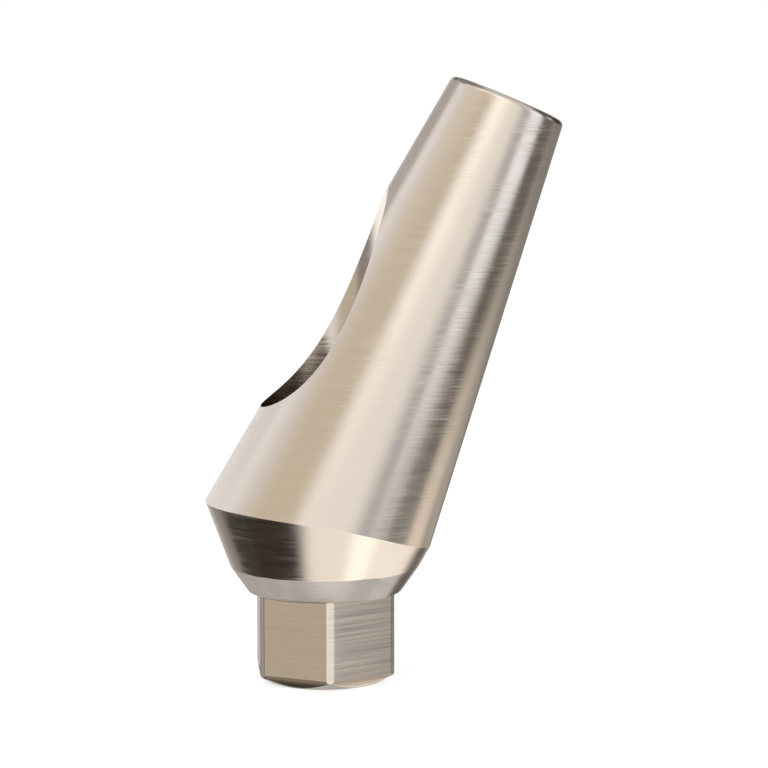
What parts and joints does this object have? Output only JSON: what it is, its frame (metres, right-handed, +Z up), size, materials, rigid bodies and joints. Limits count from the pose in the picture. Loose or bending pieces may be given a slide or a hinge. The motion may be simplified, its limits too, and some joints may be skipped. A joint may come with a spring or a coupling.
{
  "type": "dental abutment",
  "caption": "Angled titanium abutment: a male hexagon and seat cone carry a flare and a leaning conical post, with a stepped screw channel out through the post's flank.",
  "frame": {"origin": "centre of the hexagon's end face, on the axis of the fixing screw", "axes": "+Z up the fixing screw's axis, +X the side toward which the post leans"},
  "size_m": [0.0065, 0.004, 0.0109],
  "materials": {
    "titanium": "bare titanium alloy with fine turning lines, warm grey"
  },
  "bodies": {
    "root": {"abutment_body": "titanium"}
  },
  "joints": []
}
